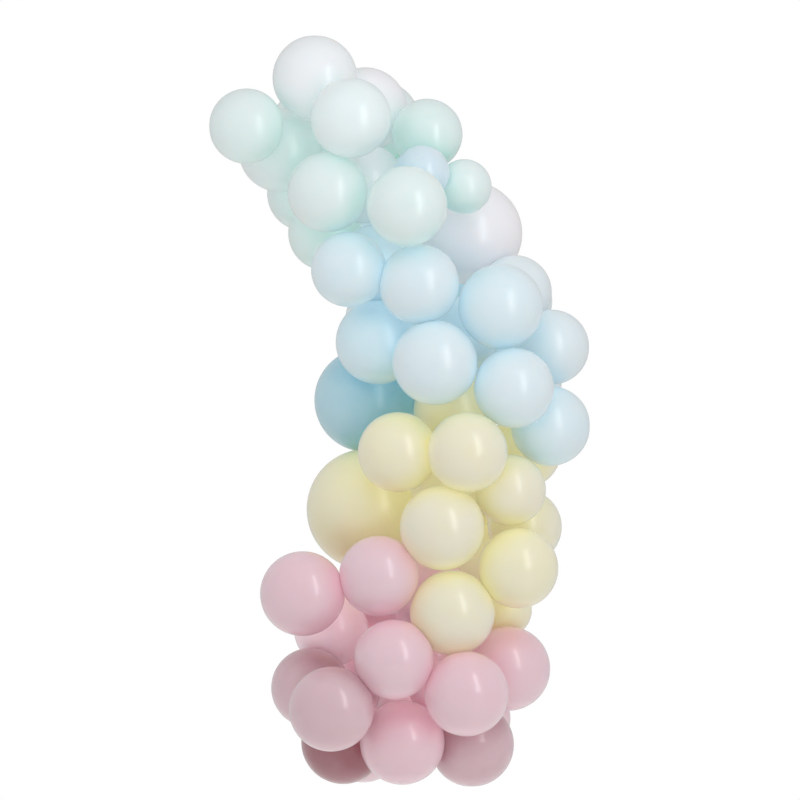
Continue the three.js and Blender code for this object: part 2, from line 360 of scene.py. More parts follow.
class BalloonShape(bpy.types.PropertyGroup):
    """The form of one blown balloon."""

    around: bpy.props.IntProperty(
        name="Around", description="Faces round the balloon", default=FACES_AROUND,
        min=12, max=160,
    )
    along: bpy.props.IntProperty(
        name="Along", description="Faces from crown to lip", default=FACES_ALONG,
        min=20, max=120,
    )
    pear: bpy.props.FloatProperty(
        name="Pear",
        description="How much the skin draws in towards the neck",
        default=PEAR,
        subtype="FACTOR",
        min=0,
        max=0.3,
    )
    pleats: bpy.props.IntProperty(
        name="Pleats", description="Folds gathered into the knot", default=PLEATS,
        min=0, max=24,
    )
    pleat_depth: bpy.props.FloatProperty(
        name="Pleat Depth", description="Depth of the gathered folds", default=PLEAT_DEPTH,
        min=0, max=0.5,
    )
    softness: bpy.props.FloatProperty(
        name="Softness",
        description="Rounding where a pressed flat turns into the free skin",
        default=1.4 * MM,
        unit="LENGTH",
        min=0.1 * MM,
    )


class StripShape(bpy.types.PropertyGroup):
    """The clear strip that the necks are pushed through."""

    width: bpy.props.FloatProperty(
        name="Width", description="Across the strip", default=STRIP_WIDTH, unit="LENGTH"
    )
    thickness: bpy.props.FloatProperty(
        name="Thickness", description="Through the strip", default=STRIP_THICKNESS,
        unit="LENGTH",
    )
    spacing: bpy.props.FloatProperty(
        name="Hole Spacing", description="From hole to hole", default=HOLE_SPACING,
        unit="LENGTH",
    )
    hole: bpy.props.FloatProperty(
        name="Hole", description="Across a punched hole", default=HOLE_WIDTH, unit="LENGTH"
    )


class LatexColours(bpy.types.PropertyGroup):
    """The colours of the latex where it is blown thin."""

    # White is the mint painted paler: painted light.
    white: bpy.props.FloatVectorProperty(
        name="White", description="Blown white latex", size=4, subtype="COLOR",
        default=linear(PAINTS["white"][1]),
    )
    mint: bpy.props.FloatVectorProperty(
        name="Mint", description="Blown mint latex", size=4, subtype="COLOR",
        default=linear(PAINTS["mint"][1]),
    )
    ice: bpy.props.FloatVectorProperty(
        name="Ice", description="Blown ice blue latex", size=4, subtype="COLOR",
        default=linear(PAINTS["ice"][1]),
    )
    blue: bpy.props.FloatVectorProperty(
        name="Pale Blue", description="Blown pale blue latex", size=4, subtype="COLOR",
        default=linear(PAINTS["blue"][1]),
    )
    sky: bpy.props.FloatVectorProperty(
        name="Sky Blue", description="Blown sky blue latex", size=4, subtype="COLOR",
        default=linear(PAINTS["sky"][1]),
    )
    yellow: bpy.props.FloatVectorProperty(
        name="Yellow", description="Blown pastel yellow latex", size=4, subtype="COLOR",
        default=linear(PAINTS["yellow"][1]),
    )
    pink: bpy.props.FloatVectorProperty(
        name="Pink", description="Blown dusty pink latex", size=4, subtype="COLOR",
        default=linear(PAINTS["pink"][1]),
    )
    # The pink latex painted darker: painted shade.
    mauve: bpy.props.FloatVectorProperty(
        name="Mauve", description="Dusty pink latex that is blown less", size=4,
        subtype="COLOR", default=linear(PAINTS["mauve"][1]),
    )
    # The pink latex painted paler: painted light.
    blush: bpy.props.FloatVectorProperty(
        name="Blush", description="Paler pink latex", size=4, subtype="COLOR",
        default=linear(PAINTS["blush"][1]),
    )


class StudioSetup(bpy.types.PropertyGroup):
    """Camera, lights and floor."""

    distance: bpy.props.FloatProperty(
        name="Camera Distance", description="From the column's middle", default=20,
        unit="LENGTH",
    )
    frame_width: bpy.props.FloatProperty(
        name="Frame Width", description="Seen across the picture", default=2.0, unit="LENGTH"
    )
    floor: bpy.props.FloatProperty(
        name="Floor Height", description="Height of the floor", default=-2.15, unit="LENGTH"
    )
    key: bpy.props.FloatProperty(
        name="Key", description="Power of the front light", default=17, unit="POWER"
    )
    fill: bpy.props.FloatProperty(
        name="Fill", description="Strength of the light from every side", default=1.15
    )
    window: bpy.props.FloatProperty(
        name="Window", description="Power of the light on the right", default=14, unit="POWER"
    )


# ---------------------------------------------------------------- latex

# Clouds where the dipped film ran a little thicker or thinner, and how much.
CLOUD_SIZE = 70 * MM
CLOUD_DEPTH = (-0.05, 0.07)
# Specks where the bloom lies unevenly, drawn coarser than the real dust so that they
# show; how much they change the roughness, and how high they stand.
SPECK_SIZE = 2.5 * MM
SPECK_SPREAD = 0.035
SPECK_HEIGHT = 0.2 * MM
# The part of the noise that is used, since it hardly ever gets to 0 or 1.
NOISE_RANGE = (0.3, 0.7)
# How much deeper the colour is painted where balloons crowd: painted shade in the gaps
# between them.
GAP_SHADE_DEPTH = 0.5
# How far light spreads in the film and in the air behind it, and its share by colour.
SCATTER_REACH = 50 * MM
SCATTER_SHARES = (1.0, 0.8, 0.7)
LATEX_IOR = 1.52

# Scuffs on the strip, from the reel and from fingers.
SCUFF_SIZE = 6 * MM
PLASTIC_IOR = 1.5


def latex(name, thin, thick, tone_and_shade_depth, bloom, gloss):
    """Latex that is dipped thin, dyed in the mass and blown up: thin on the belly, thick at
    the crown and the neck, with a faint powdery bloom that dulls its shine. Its colour also
    carries painted shade in the gaps between balloons, and painted shade and light through
    its tone."""
    material = bpy.data.materials.get(name)
    if material:
        return material
    material = bpy.data.materials.new(name)
    material.use_nodes = True
    tree = material.node_tree
    tree.nodes.clear()
    where = add(tree, "ShaderNodeTexCoord").outputs["Object"]
    film = add(tree, "ShaderNodeAttribute", {"attribute_name": "thickness"}).outputs["Fac"]
    tone = add(tree, "ShaderNodeAttribute", {"attribute_name": "tone"}).outputs["Fac"]
    clouds = add(
        tree,
        "ShaderNodeTexNoise",
        Vector=where,
        Scale=1 / CLOUD_SIZE,
        Detail=3.0,
        Roughness=0.55,
    )
    specks = add(
        tree,
        "ShaderNodeTexNoise",
        Vector=where,
        Scale=1 / SPECK_SIZE,
        Detail=2.0,
        Roughness=0.5,
    )
    patchy = add(
        tree,
        "ShaderNodeMapRange",
        Value=clouds.outputs["Fac"],
        From_Min=NOISE_RANGE[0],
        From_Max=NOISE_RANGE[1],
        To_Min=CLOUD_DEPTH[0],
        To_Max=CLOUD_DEPTH[1],
    )
    # Painted shade: where balloons crowd, the colour is made deeper, standing in for light
    # that has passed through several films and for the shade in the gaps.
    gap_shade_share = add(tree, "ShaderNodeAttribute", {"attribute_name": "crowding"}).outputs["Fac"]
    gap_shaded = add(
        tree,
        "ShaderNodeMath",
        {"operation": "MULTIPLY_ADD"},
        i0=gap_shade_share,
        i1=GAP_SHADE_DEPTH,
        i2=film,
    )
    toned_and_shaded = add(
        tree,
        "ShaderNodeMath",
        {"operation": "MULTIPLY_ADD"},
        i0=tone,
        i1=tone_and_shade_depth,
        i2=gap_shaded,
    )
    depth = add(
        tree, "ShaderNodeMath", {"operation": "ADD", "use_clamp": True}, i0=toned_and_shaded, i1=patchy
    )
    colour = add(
        tree, "ShaderNodeMix", {"data_type": "RGBA"}, i0=depth, i6=thin, i7=thick
    )
    dull = add(
        tree,
        "ShaderNodeMapRange",
        Value=specks.outputs["Fac"],
        From_Min=NOISE_RANGE[0],
        From_Max=NOISE_RANGE[1],
        To_Min=bloom - SPECK_SPREAD,
        To_Max=bloom + SPECK_SPREAD,
    )
    grain = add(
        tree,
        "ShaderNodeBump",
        Height=specks.outputs["Fac"],
        Strength=0.04,
        Distance=SPECK_HEIGHT,
    )
    skin = add(
        tree,
        "ShaderNodeBsdfPrincipled",
        Base_Color=colour.outputs[2],
        Roughness=dull,
        Normal=grain,
        IOR=LATEX_IOR,
        Subsurface_Weight=0.8,
        Subsurface_Radius=SCATTER_SHARES,
        Subsurface_Scale=SCATTER_REACH,
        Coat_Weight=0.8,
        Coat_Roughness=gloss,
    )
    add(tree, "ShaderNodeOutputMaterial", Surface=skin)
    return material


def clear_plastic():
    """Clear polyethylene, extruded flat and punched: see-through, with soft scuffs."""
    material = bpy.data.materials.new("clear_polyethylene_extruded")
    material.use_nodes = True
    tree = material.node_tree
    tree.nodes.clear()
    where = add(tree, "ShaderNodeTexCoord").outputs["Object"]
    scuffs = add(tree, "ShaderNodeTexNoise", Vector=where, Scale=1 / SCUFF_SIZE, Detail=4.0)
    dull = add(
        tree,
        "ShaderNodeMapRange",
        Value=scuffs.outputs["Fac"],
        From_Min=0.35,
        From_Max=0.7,
        To_Min=0.12,
        To_Max=0.38,
    )
    plastic = add(
        tree,
        "ShaderNodeBsdfPrincipled",
        Base_Color=linear("EEF4F4"),
        Roughness=dull,
        IOR=PLASTIC_IOR,
        Transmission_Weight=0.75,
    )
    add(tree, "ShaderNodeOutputMaterial", Surface=plastic)
    return material


# ---------------------------------------------------------------- geometry node trees


def new_tree(name, inputs):
    """A geometry node tree with a geometry input and the named inputs."""
    tree = bpy.data.node_groups.new(name, "GeometryNodeTree")
    tree.interface.new_socket("Geometry", in_out="INPUT", socket_type="NodeSocketGeometry")
    for label, kind, value in inputs:
        socket = tree.interface.new_socket(
            label, in_out="INPUT", socket_type="NodeSocket" + kind
        )
        if value is not None:
            socket.default_value = value
    tree.interface.new_socket("Geometry", in_out="OUTPUT", socket_type="NodeSocketGeometry")
    return tree, add(tree, "NodeGroupInput").outputs


def bake(holder, tree, values, name):
    """Runs a tree on an object and gives the plain mesh that it makes."""
    modifier = holder.modifiers.new(tree.name, "NODES")
    modifier.node_group = tree
    for item in tree.interface.items_tree:
        if item.in_out == "INPUT" and item.name in values:
            modifier[item.identifier] = values[item.name]
    graph = bpy.context.evaluated_depsgraph_get()
    mesh = bpy.data.meshes.new_from_object(
        holder.evaluated_get(graph), preserve_all_data_layers=True, depsgraph=graph
    )
    mesh.name = name
    holder.modifiers.remove(modifier)
    return mesh


def float_curve(tree, value, points):
    """A curve of value against its height, through the given points."""
    node = add(tree, "ShaderNodeFloatCurve", Value=value)
    curve = node.mapping.curves[0]
    while len(curve.points) < len(points):
        curve.points.new(0.5, 0.5)
    for handle, place in zip(curve.points, points):
        handle.location = place
    node.mapping.update()
    return node


def balloon_tree():
    """A round balloon, crown up at the origin's +Z side, tied at the bottom with a knot
    and a rolled lip. One sheet of faces is turned round the axis and closed."""
    tree, given = new_tree(
        "latex_balloon",
        (
            ("Radius", "Float", USUAL_RADIUS),
            ("Around", "Int", FACES_AROUND),
            ("Along", "Int", FACES_ALONG),
            ("Pear", "Float", PEAR),
            ("Pleats", "Int", PLEATS),
            ("Pleat Depth", "Float", PLEAT_DEPTH),
            ("Tone", "Float", 0.0),
            ("Material", "Material", None),
        ),
    )
    math_node = "ShaderNodeMath"
    around = add(tree, math_node, {"operation": "ADD"}, i0=given["Around"], i1=1.0)
    along = add(tree, math_node, {"operation": "ADD"}, i0=given["Along"], i1=1.0)
    sheet = add(
        tree,
        "GeometryNodeMeshGrid",
        Size_X=1.0,
        Size_Y=1.0,
        Vertices_X=around,
        Vertices_Y=along,
    )
    flat = add(tree, "ShaderNodeSeparateXYZ", Vector=add(tree, "GeometryNodeInputPosition"))
    turn = add(
        tree, math_node, {"operation": "MULTIPLY"}, i0=flat.outputs["X"], i1=-2 * math.pi
    )
    down = add(tree, math_node, {"operation": "ADD"}, i0=flat.outputs["Y"], i1=0.5)
    polar = add(
        tree, "ShaderNodeMapRange", Value=down, From_Max=BODY_SHARE, To_Max=BODY_END
    )
    tie = add(tree, "ShaderNodeMapRange", Value=down, From_Min=BODY_SHARE, From_Max=1.0)
    low = add(
        tree,
        "ShaderNodeMapRange",
        {"interpolation_type": "SMOOTHSTEP"},
        Value=polar,
        From_Min=PEAR_START,
        From_Max=BODY_END,
        To_Max=given["Pear"],
    )
    thin_out = add(tree, math_node, {"operation": "SUBTRACT"}, i0=1.0, i1=low)
    wide = add(
        tree,
        math_node,
        {"operation": "MULTIPLY"},
        i0=add(tree, math_node, {"operation": "SINE"}, i0=polar),
        i1=thin_out,
    )
    neck = float_curve(tree, tie, TIE_WIDTHS)
    drop = float_curve(tree, tie, TIE_DROPS)
    wide = add(tree, math_node, {"operation": "MULTIPLY"}, i0=wide, i1=neck)
    # Folds gather towards the knot and die out on the belly.
    fold_height = add(
        tree,
        "ShaderNodeMapRange",
        {"interpolation_type": "SMOOTHSTEP"},
        Value=polar,
        From_Min=FOLD_START,
        From_Max=BODY_END,
        To_Max=given["Pleat Depth"],
    )
    fold_turn = add(
        tree, math_node, {"operation": "MULTIPLY"}, i0=turn, i1=given["Pleats"]
    )
    fold = add(
        tree,
        math_node,
        {"operation": "MULTIPLY_ADD"},
        i0=add(tree, math_node, {"operation": "COSINE"}, i0=fold_turn),
        i1=fold_height,
        i2=1.0,
    )
    wide = add(tree, math_node, {"operation": "MULTIPLY"}, i0=wide, i1=fold)
    high = add(
        tree,
        math_node,
        {"operation": "MULTIPLY_ADD"},
        i0=drop,
        i1=-TIE_LENGTH,
        i2=add(tree, math_node, {"operation": "COSINE"}, i0=polar),
    )
    ring = add(
        tree,
        "ShaderNodeCombineXYZ",
        X=add(
            tree, math_node, {"operation": "MULTIPLY"},
            i0=add(tree, math_node, {"operation": "COSINE"}, i0=turn), i1=wide,
        ),
        Y=add(
            tree, math_node, {"operation": "MULTIPLY"},
            i0=add(tree, math_node, {"operation": "SINE"}, i0=turn), i1=wide,
        ),
        Z=high,
    )
    # The thickness of the film and the tone, which carries painted shade and painted light
    # besides the spread from balloon to balloon, are kept for the latex to read.
    gone = add(tree, math_node, {"operation": "DIVIDE"}, i0=polar, i1=BODY_END)
    film = float_curve(tree, gone, THICKNESS)
    marked = add(
        tree,
        "GeometryNodeStoreNamedAttribute",
        {"data_type": "FLOAT", "domain": "POINT"},
        Geometry=sheet.outputs["Mesh"],
        Name="thickness",
        Value=film,
    )
    marked = add(
        tree,
        "GeometryNodeStoreNamedAttribute",
        {"data_type": "FLOAT", "domain": "POINT"},
        Geometry=marked,
        Name="tone",
        Value=given["Tone"],
    )
    place = add(
        tree, "ShaderNodeVectorMath", {"operation": "SCALE"}, i0=ring, Scale=given["Radius"]
    )
    turned = add(tree, "GeometryNodeSetPosition", Geometry=marked, Position=place)
    closed = add(tree, "GeometryNodeMergeByDistance", Geometry=turned, Distance=WELD)
    smooth = add(tree, "GeometryNodeSetShadeSmooth", Geometry=closed)
    real = add(tree, "GeometryNodeRealizeInstances", Geometry=smooth)
    done = add(tree, "GeometryNodeSetMaterial", Geometry=real, Material=given["Material"])
    add(tree, "NodeGroupOutput", Geometry=done)
    return tree


def strip_tree():
    """A flat strip that follows a curve, with a row of punched holes."""
    tree, given = new_tree(
        "punched_strip",
        (
            ("Width", "Float", STRIP_WIDTH),
            ("Thickness", "Float", STRIP_THICKNESS),
            ("Hole Spacing", "Float", HOLE_SPACING),
            ("Hole", "Float", HOLE_WIDTH),
            ("Sides", "Int", HOLE_SIDES),
            ("Material", "Material", None),
        ),
    )
    math_node = "ShaderNodeMath"
    length = add(tree, "GeometryNodeCurveLength", Curve=given["Geometry"])
    count = add(
        tree, math_node, {"operation": "ROUND"},
        i0=add(
            tree, math_node, {"operation": "DIVIDE"}, i0=length, i1=given["Hole Spacing"]
        ),
    )
    pitch = add(tree, math_node, {"operation": "DIVIDE"}, i0=length, i1=count)
    # One plate: rings of faces from the hole out to a square of half-width 1.
    sides = add(tree, math_node, {"operation": "ADD"}, i0=given["Sides"], i1=1.0)
    sheet = add(
        tree,
        "GeometryNodeMeshGrid",
        Size_X=1.0,
        Size_Y=1.0,
        Vertices_X=sides,
        Vertices_Y=2,
    )
    flat = add(tree, "ShaderNodeSeparateXYZ", Vector=add(tree, "GeometryNodeInputPosition"))
    turn = add(
        tree, math_node, {"operation": "MULTIPLY_ADD"},
        i0=flat.outputs["X"], i1=-2 * math.pi, i2=math.pi / 4,
    )
    out = add(tree, math_node, {"operation": "ADD"}, i0=flat.outputs["Y"], i1=0.5)
    cosine = add(tree, math_node, {"operation": "COSINE"}, i0=turn)
    sine = add(tree, math_node, {"operation": "SINE"}, i0=turn)
    biggest = add(
        tree, math_node, {"operation": "MAXIMUM"},
        i0=add(tree, math_node, {"operation": "ABSOLUTE"}, i0=cosine),
        i1=add(tree, math_node, {"operation": "ABSOLUTE"}, i0=sine),
    )
    edge = add(tree, math_node, {"operation": "DIVIDE"}, i0=1.0, i1=biggest)
    inner = add(
        tree, math_node, {"operation": "DIVIDE"}, i0=given["Hole"], i1=given["Width"]
    )
    reach = add(
        tree, "ShaderNodeMapRange", Value=out, To_Min=inner, To_Max=edge
    )
    plate = add(
        tree, "GeometryNodeSetPosition", Geometry=sheet.outputs["Mesh"],
        Position=add(
            tree, "ShaderNodeVectorMath", {"operation": "SCALE"},
            i0=add(tree, "ShaderNodeCombineXYZ", X=cosine, Y=sine), Scale=reach,
        ),
    )
    row = add(
        tree, "GeometryNodeMeshLine", Count=count,
        Start_Location=(1.0, 0.0, 0.0), Offset=(2.0, 0.0, 0.0),
    )
    placed = add(tree, "GeometryNodeInstanceOnPoints", Points=row, Instance=plate)
    joined = add(
        tree, "GeometryNodeMergeByDistance",
        Geometry=add(tree, "GeometryNodeRealizeInstances", Geometry=placed),
        Distance=PLATE_WELD,
    )
    # Half a unit of plate is half a pitch along the curve and half a width across it.
    here = add(tree, "ShaderNodeSeparateXYZ", Vector=add(tree, "GeometryNodeInputPosition"))
    gone = add(
        tree, math_node, {"operation": "MULTIPLY"}, i0=here.outputs["X"],
        i1=add(tree, math_node, {"operation": "MULTIPLY"}, i0=pitch, i1=0.5),
    )
    sample = add(
        tree, "GeometryNodeSampleCurve", {"mode": "LENGTH", "use_all_curves": True},
        Curves=given["Geometry"], Length=gone,
    )
    across = add(
        tree, "ShaderNodeVectorMath", {"operation": "NORMALIZE"},
        i0=add(
            tree, "ShaderNodeVectorMath", {"operation": "CROSS_PRODUCT"},
            i0=sample.outputs["Tangent"], i1=(0.0, 1.0, 0.0),
        ),
    )
    facing = add(
        tree, "ShaderNodeVectorMath", {"operation": "CROSS_PRODUCT"},
        i0=across, i1=sample.outputs["Tangent"],
    )
    aside = add(
        tree, math_node, {"operation": "MULTIPLY"}, i0=here.outputs["Y"],
        i1=add(tree, math_node, {"operation": "MULTIPLY"}, i0=given["Width"], i1=0.5),
    )
    bent = add(
        tree, "ShaderNodeVectorMath", {"operation": "MULTIPLY_ADD"},
        i0=across,
        i1=add(tree, "ShaderNodeCombineXYZ", X=aside, Y=aside, Z=aside),
        i2=sample.outputs["Position"],
    )
    half = add(tree, math_node, {"operation": "MULTIPLY"}, i0=given["Thickness"], i1=0.5)
    back = add(
        tree, "ShaderNodeVectorMath", {"operation": "MULTIPLY_ADD"},
        i0=facing,
        i1=add(tree, "ShaderNodeCombineXYZ", X=half, Y=half, Z=half),
        i2=bent,
    )
    face = add(tree, "GeometryNodeSetPosition", Geometry=joined, Position=back)
    raised = add(
        tree, "GeometryNodeExtrudeMesh", {"mode": "FACES"},
        Mesh=face, Offset_Scale=given["Thickness"], Individual=False,
    )
    under = add(tree, "GeometryNodeFlipFaces", Mesh=face)
    both = add(tree, "GeometryNodeJoinGeometry")
    tree.links.new(raised.outputs["Mesh"], both.inputs[0])
    tree.links.new(under.outputs[0], both.inputs[0])
    shell = add(tree, "GeometryNodeMergeByDistance", Geometry=both, Distance=WELD)
    real = add(tree, "GeometryNodeRealizeInstances", Geometry=shell)
    done = add(tree, "GeometryNodeSetMaterial", Geometry=real, Material=given["Material"])
    add(tree, "NodeGroupOutput", Geometry=done)
    return tree


# ---------------------------------------------------------------- balloons


def limits_of(ball):
    """The flats that hold a balloon: halfway to each neighbour, the strip, the wall and
    the sides of the CAD box, as ways out of its middle and how far along them."""
    ways, far = [], []
    for other in BALLS:
        away = other["centre"] - ball["centre"]
        span = np.linalg.norm(away)
        if 0 < span < (ball["radius"] + other["radius"]) * NEAR_ENOUGH:
            ways.append(away / span)
            share = (span**2 + ball["radius"] ** 2 - other["radius"] ** 2) / (2 * span)
            far.append(share - SKIN_GAP / 2)
    spot = nearest_on_line(LINE, ball["centre"]) - ball["centre"]
    span = np.linalg.norm(spot)
    ways.append(spot / span)
    far.append(max(span - STRIP_CLEAR, LEAST_ROOM))
    ways.append(np.array((0.0, 1.0, 0.0)))
    far.append(-ball["centre"][1] - WALL_CLEAR)
    for axis in range(3):
        for side, wall in ((-1, CAD_BOX[0][axis]), (1, CAD_BOX[1][axis])):
            way = np.zeros(3)
            way[axis] = side
            ways.append(way)
            far.append(side * (wall - ball["centre"][axis]) - SKIN_GAP / 2)
    return np.array(ways), np.array(far)


def press(points, ball, softness):
    """Points round a balloon's middle, drawn in where a flat holds the skin back."""
    reach = np.maximum(np.linalg.norm(points, axis=1), TINY)
    rays = points / reach[:, None]
    ways, far = limits_of(ball)
    toward = rays @ ways.T
    room = np.where(toward > SIDEWAYS, far / np.maximum(toward, SIDEWAYS), FAR_OFF)
    room = np.column_stack((reach, room))
    least = room.min(1)
    eased = np.exp(-(room - least[:, None]) / softness).sum(1)
    return rays * (least - softness * np.log(eased))[:, None]


def crowding(points, ball):
    """How much of the surroundings of each point the other balloons fill, from 0 to 1: the
    share of painted shade that deepens the colour in the gaps.
    """
    facing = points / np.maximum(np.linalg.norm(points, axis=1), TINY)[:, None]
    filled = np.zeros(len(points))
    for other in BALLS:
        away = other["centre"] - ball["centre"] - points
        span = np.maximum(np.linalg.norm(away, axis=1), other["radius"])
        toward = np.maximum((facing * away).sum(1) / span, 0)
        if other is not ball:
            filled += toward * (other["radius"] / span) ** 2
    return np.minimum(filled, 1.0)


def make_balloon(ball, tree, shape, material, tone, name):
    """One blown balloon as a plain mesh, in its place and pressed by its neighbours."""
    holder_mesh = bpy.data.meshes.new("seed")
    holder = bpy.data.objects.new("seed", holder_mesh)
    bpy.context.scene.collection.objects.link(holder)
    mesh = bake(
        holder,
        tree,
        {
            "Radius": float(ball["radius"]),
            "Around": shape.around,
            "Along": shape.along,
            "Pear": shape.pear,
            "Pleats": shape.pleats,
            "Pleat Depth": shape.pleat_depth,
            "Tone": float(tone),
            "Material": material,
        },
        name,
    )
    bpy.data.objects.remove(holder)
    bpy.data.meshes.remove(holder_mesh)
    points = np.empty(len(mesh.vertices) * 3)
    mesh.vertices.foreach_get("co", points)
    crown = Vector(CROWNS.get(ball["node"], -ball["neck"])).normalized()
    turn = np.array(crown.to_track_quat("Z", "Y").to_matrix())
    points = press(points.reshape(-1, 3) @ turn.T, ball, shape.softness)
    mesh.vertices.foreach_set("co", (points + ball["centre"]).ravel())
    # The painted shade in the gaps between balloons, kept for the latex to read.
    gap_shade_share = mesh.attributes.new("crowding", "FLOAT", "POINT")
    gap_shade_share.data.foreach_set("value", crowding(points, ball))
    mesh.update()
    return mesh


def paint_of(node):
    """Which paint a node has."""
    if node in FILLERS:
        return FILLERS[node][0]
    return BEHIND.get(node) or node.split("_")[0]


def make_group(scene, paint, seed, tone_and_shade_depth, bloom, gloss):
    """All balloons of one paint, in front and on the wall side, one piece for each CAD
    node and each filler. The seed spreads their tones."""
    # Pink also gets its copies with painted shade and painted light.
    materials = {
        name: latex(
            LATEX_NAMES[name], tuple(getattr(scene.garland_colours, name)),
            linear(PAINTS[name][2]), tone_and_shade_depth, bloom, gloss,
        )
        for name in ((paint, "mauve", "blush") if paint == "pink" else (paint,))
    }
    tree = bpy.data.node_groups.get("latex_balloon") or balloon_tree()
    rng = np.random.default_rng(seed)
    nodes = sorted(set(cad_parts) - {"strip"}) + list(FILLERS)
    nodes = [n for n in nodes if paint_of(n) == paint]
    if not nodes:
        raise RuntimeError(f"the frame has no {paint} balloons")
    for node in nodes:
        # Each balloon's tone is random, plus the painted shade or painted light of its shift.
        meshes = [
            make_balloon(
                ball, tree, scene.garland_balloon, materials[SHADED_AND_LIT_PINKS.get(node, paint)],
                rng.uniform(0, 1) + TONE_AND_SHADE_SHIFTS.get(node, 0.0), "dressed_" + node,
            )
            for ball in BALLS
            if ball["node"] == node
        ]
        piece = bpy.data.objects.new("dressed_" + node, meshes[0])
        scene.collection.objects.link(piece)
        if len(meshes) > 1:
            join(piece, meshes[1])
        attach(piece, "root")
        if node not in FILLERS:
            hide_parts(node)


def join(piece, mesh):
    """Adds a second mesh to a piece."""
    other = bpy.data.objects.new("joining", mesh)
    bpy.context.scene.collection.objects.link(other)
    with bpy.context.temp_override(
        active_object=piece, object=piece, selected_editable_objects=[piece, other],
        selected_objects=[piece, other],
    ):
        bpy.ops.object.join()


class GARLAND_OT_white(bpy.types.Operator):
    """Makes the white balloons"""

    bl_idname = "garland.white"
    bl_label = "White balloons"

    def execute(self, context):
        make_group(
            context.scene, "white", seed=160, tone_and_shade_depth=0.3, bloom=0.35, gloss=0.24
        )
        return {"FINISHED"}


class GARLAND_OT_mint(bpy.types.Operator):
    """Makes the mint balloons"""

    bl_idname = "garland.mint"
    bl_label = "Mint balloons"

    def execute(self, context):
        make_group(
            context.scene, "mint", seed=129, tone_and_shade_depth=0.3, bloom=0.35, gloss=0.23
        )
        return {"FINISHED"}


class GARLAND_OT_blue(bpy.types.Operator):
    """Makes the pale blue and ice blue balloons"""

    bl_idname = "garland.blue"
    bl_label = "Pale blue balloons"

    def execute(self, context):
        make_group(
            context.scene, "ice", seed=98, tone_and_shade_depth=0.3, bloom=0.33, gloss=0.23
        )
        make_group(
            context.scene, "blue", seed=129, tone_and_shade_depth=0.3, bloom=0.35, gloss=0.23
        )
        return {"FINISHED"}


class GARLAND_OT_sky(bpy.types.Operator):
    """Makes the large sky blue balloon"""

    bl_idname = "garland.sky"
    bl_label = "Sky blue balloon"

    def execute(self, context):
        make_group(
            context.scene, "sky", seed=98, tone_and_shade_depth=0.3, bloom=0.36, gloss=0.24
        )
        return {"FINISHED"}


class GARLAND_OT_yellow(bpy.types.Operator):
    """Makes the yellow balloons"""

    bl_idname = "garland.yellow"
    bl_label = "Yellow balloons"

    def execute(self, context):
        make_group(
            context.scene, "yellow", seed=191, tone_and_shade_depth=0.3, bloom=0.35, gloss=0.19
        )
        return {"FINISHED"}


class GARLAND_OT_pink(bpy.types.Operator):
    """Makes the pink balloons"""

    bl_idname = "garland.pink"
    bl_label = "Pink balloons"

    def execute(self, context):
        make_group(
            context.scene, "pink", seed=129, tone_and_shade_depth=0.35, bloom=0.34, gloss=0.14
        )
        return {"FINISHED"}


class GARLAND_OT_strip(bpy.types.Operator):
    """Makes the clear punched strip that the balloons are tied to"""

    bl_idname = "garland.strip"
    bl_label = "Punched strip"

    def execute(self, context):
        shape = context.scene.garland_strip
        curve = bpy.data.curves.new("strip_way", "CURVE")
        curve.dimensions = "3D"
        spline = curve.splines.new("POLY")
        spline.points.add(len(LINE) - 1)
        spline.points.foreach_set("co", np.column_stack((LINE, np.ones(len(LINE)))).ravel())
        holder = bpy.data.objects.new("strip_way", curve)
        context.scene.collection.objects.link(holder)
        mesh = bake(
            holder,
            strip_tree(),
            {
                "Width": shape.width,
                "Thickness": shape.thickness,
                "Hole Spacing": shape.spacing,
                "Hole": shape.hole,
                "Sides": HOLE_SIDES,
                "Material": clear_plastic(),
            },
            "punched_strip",
        )
        bpy.data.objects.remove(holder)
        piece = bpy.data.objects.new("punched_strip", mesh)
        context.scene.collection.objects.link(piece)
        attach(piece, "root")
        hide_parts("strip")
        return {"FINISHED"}


# ---------------------------------------------------------------- studio


def aim(obj, place, target):
    """Puts an object in a place and turns its -Z to a target."""
    obj.location = place
    obj.rotation_euler = (Vector(target) - Vector(place)).to_track_quat("-Z", "Y").to_euler()


def area_light(scene, name, place, target, size, power, glossy):
    """A soft rectangular light that casts no shadow and that the camera doesn't see."""
    light = bpy.data.lights.new(name, "AREA")
    light.shape = "RECTANGLE"
    light.size, light.size_y = size
    light.energy = power
    light.use_shadow = False
    lamp = bpy.data.objects.new(name, light)
    lamp.visible_camera = False
    lamp.visible_glossy = glossy
    scene.collection.objects.link(lamp)
    aim(lamp, place, target)


# The middle of the picture, and the floor, a disc under the garland.
PICTURE_MIDDLE = (0.1875, -0.405, -0.825)
FLOOR_MIDDLE = (0.19, -0.35)
FLOOR_RADIUS = 3.6
FLOOR_CORNERS = 96
ROLLER_MARKS = 30 * MM

# Soft rectangular lamps: name, place, what it is aimed at, width and height, the setting
# that gives its power, its share of that, and whether gloss shows it.
LAMPS = (
    ("front_fill", (0.1, -2.4, 0.9), (0.19, -0.35, -0.75), (2.0, 2.0), "key", 1.0, False),
    (
        "upper_left_fill", (-1.3, -1.2, -0.4), (0.05, -0.3, -0.05), (1.0, 1.0), "key", 0.2,
        False,
    ),
    (
        "window_softbox", (1.5, -2.4, -0.1), (0.19, -0.4, -0.75), (0.5, 2.6), "window", 1.0,
        True,
    ),
)

